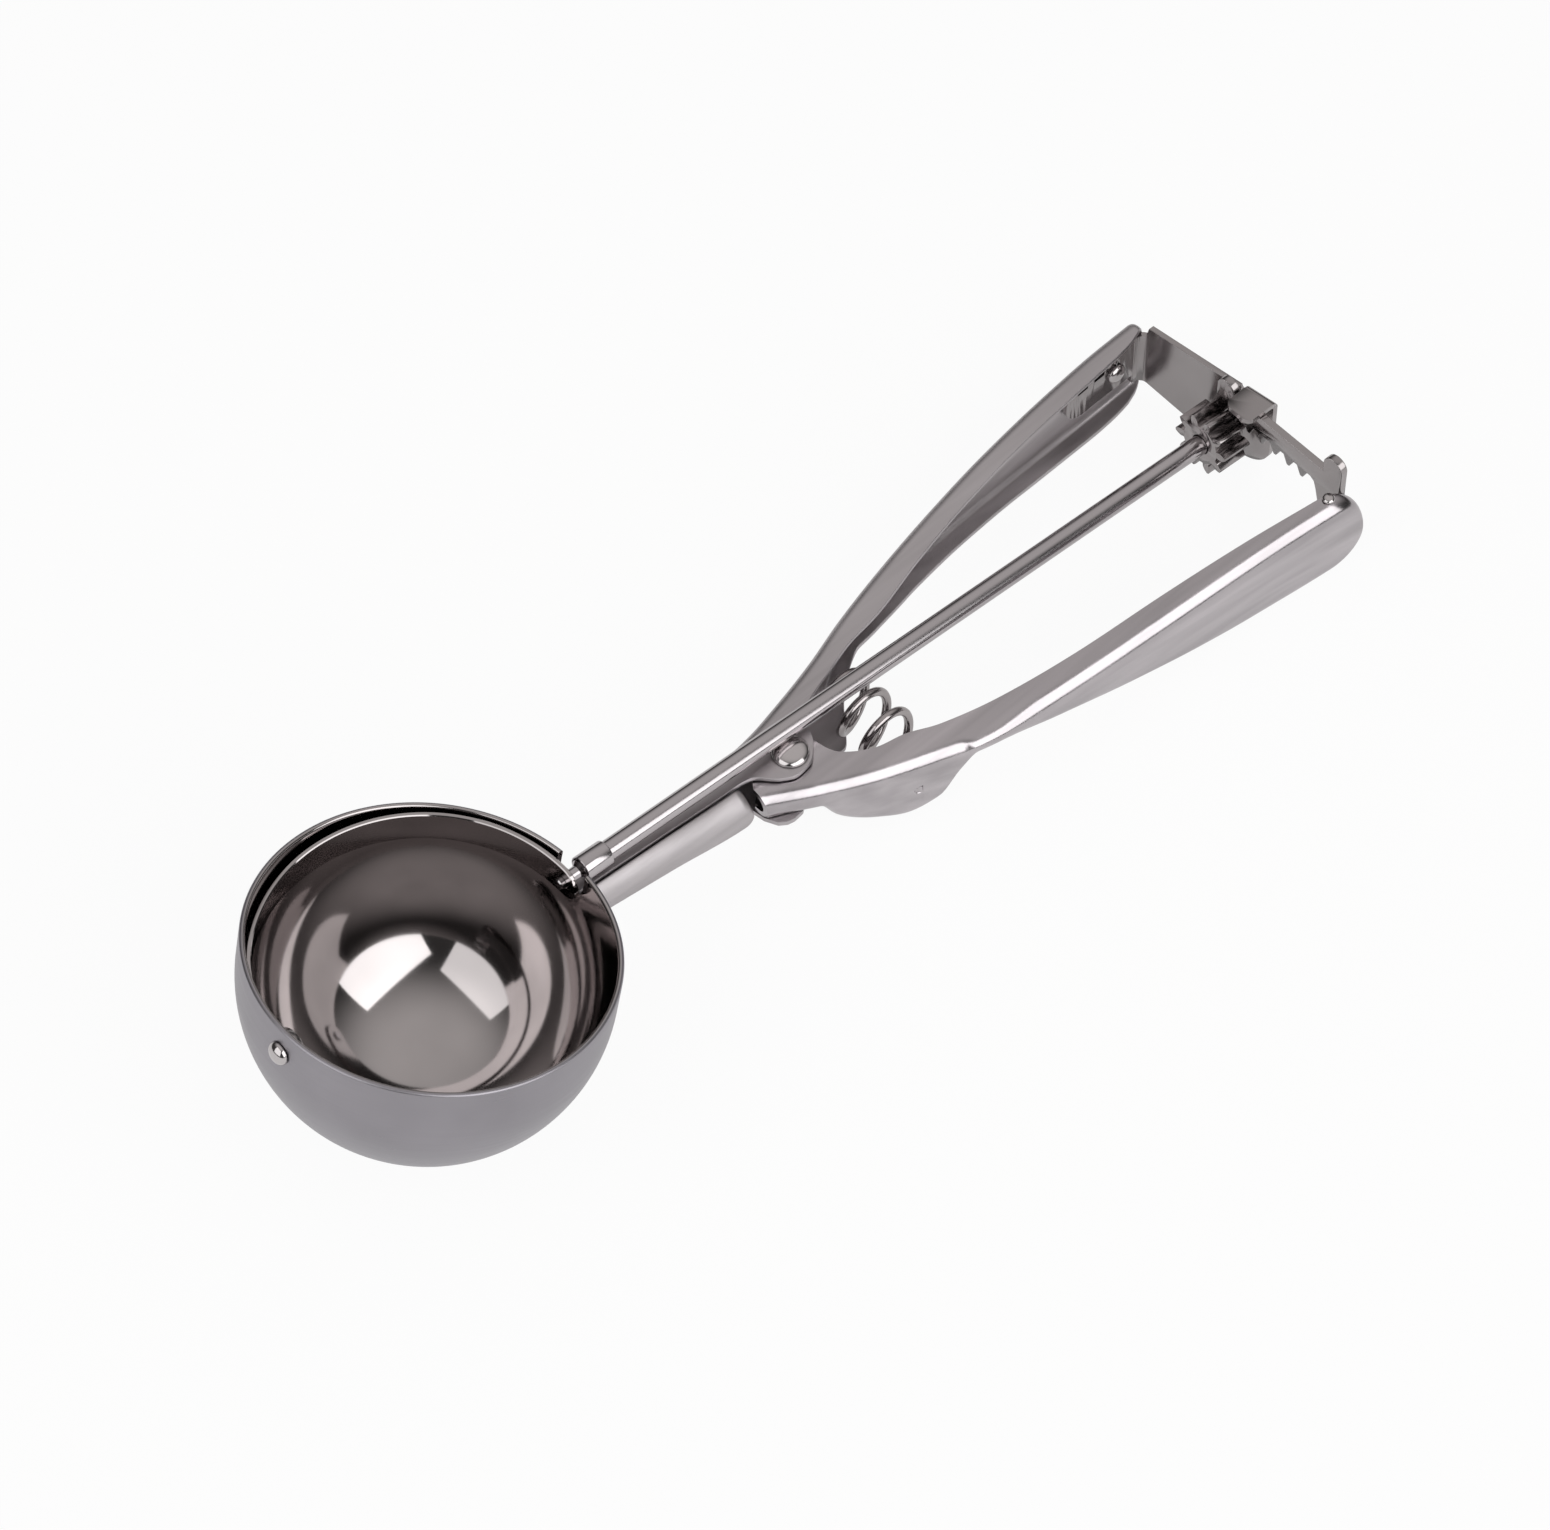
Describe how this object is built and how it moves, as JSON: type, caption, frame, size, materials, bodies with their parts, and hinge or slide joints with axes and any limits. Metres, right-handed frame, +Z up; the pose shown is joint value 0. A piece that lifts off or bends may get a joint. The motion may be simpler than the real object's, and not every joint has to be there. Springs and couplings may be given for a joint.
{
  "type": "ice cream scoop",
  "caption": "Squeeze-handle ice cream scoop: a sprung lever's rack turns a pinion on a long rod, which swings a scraper blade round the inside of a round bowl.",
  "frame": {"origin": "middle of the footprint at the table, the scoop lying with the bowl's mouth up", "axes": "+X from the bowl to the free ends of the handles, +Y towards the fixed handle, +Z up"},
  "size_m": [0.2098, 0.061, 0.0446],
  "materials": {
    "satin_steel": "satin outside, polished inside",
    "brushed_steel": "stamped and lightly brushed",
    "polished_steel": "polished",
    "spring_wire": "drawn wire"
  },
  "bodies": {
    "frame": {"bowl": "satin_steel", "front_hanger": "satin_steel", "front_rivet": "brushed_steel", "scraper_pivot_pin": "brushed_steel", "fixed_handle": "brushed_steel", "pivot_rivet": "polished_steel", "return_spring": "spring_wire", "gear_bracket": "brushed_steel", "bracket_rivet": "polished_steel"},
    "lever": {"lever_handle": "brushed_steel", "rack_plate": "brushed_steel", "rack_rivet": "polished_steel"},
    "scraper": {"scraper_blade": "polished_steel", "scraper_rod": "polished_steel", "rod_ferrule": "polished_steel", "pinion": "brushed_steel", "rod_end_head": "brushed_steel"}
  },
  "joints": [
    {"name": "lever_squeeze", "type": "hinge", "parent": "frame", "child": "lever", "pos_m": [-0.00166, -0.0019, 0.01766], "axis": [0.041, 0, 0.9992], "range_deg": [0, 7.8], "stiffness_Nm_per_rad": 0.5, "springref_deg": -17.19, "deforming": ["return_spring"]},
    {"name": "scraper_turn", "type": "hinge", "parent": "frame", "child": "scraper", "pos_m": [-0.07491, 0.0005, 0.03007], "axis": [-0.9918, 0, 0.1279], "range_deg": [0, 160]}
  ],
  "couplings": [
    {"joint": "scraper_turn", "follows": "lever_squeeze", "ratio": 20.4}
  ]
}
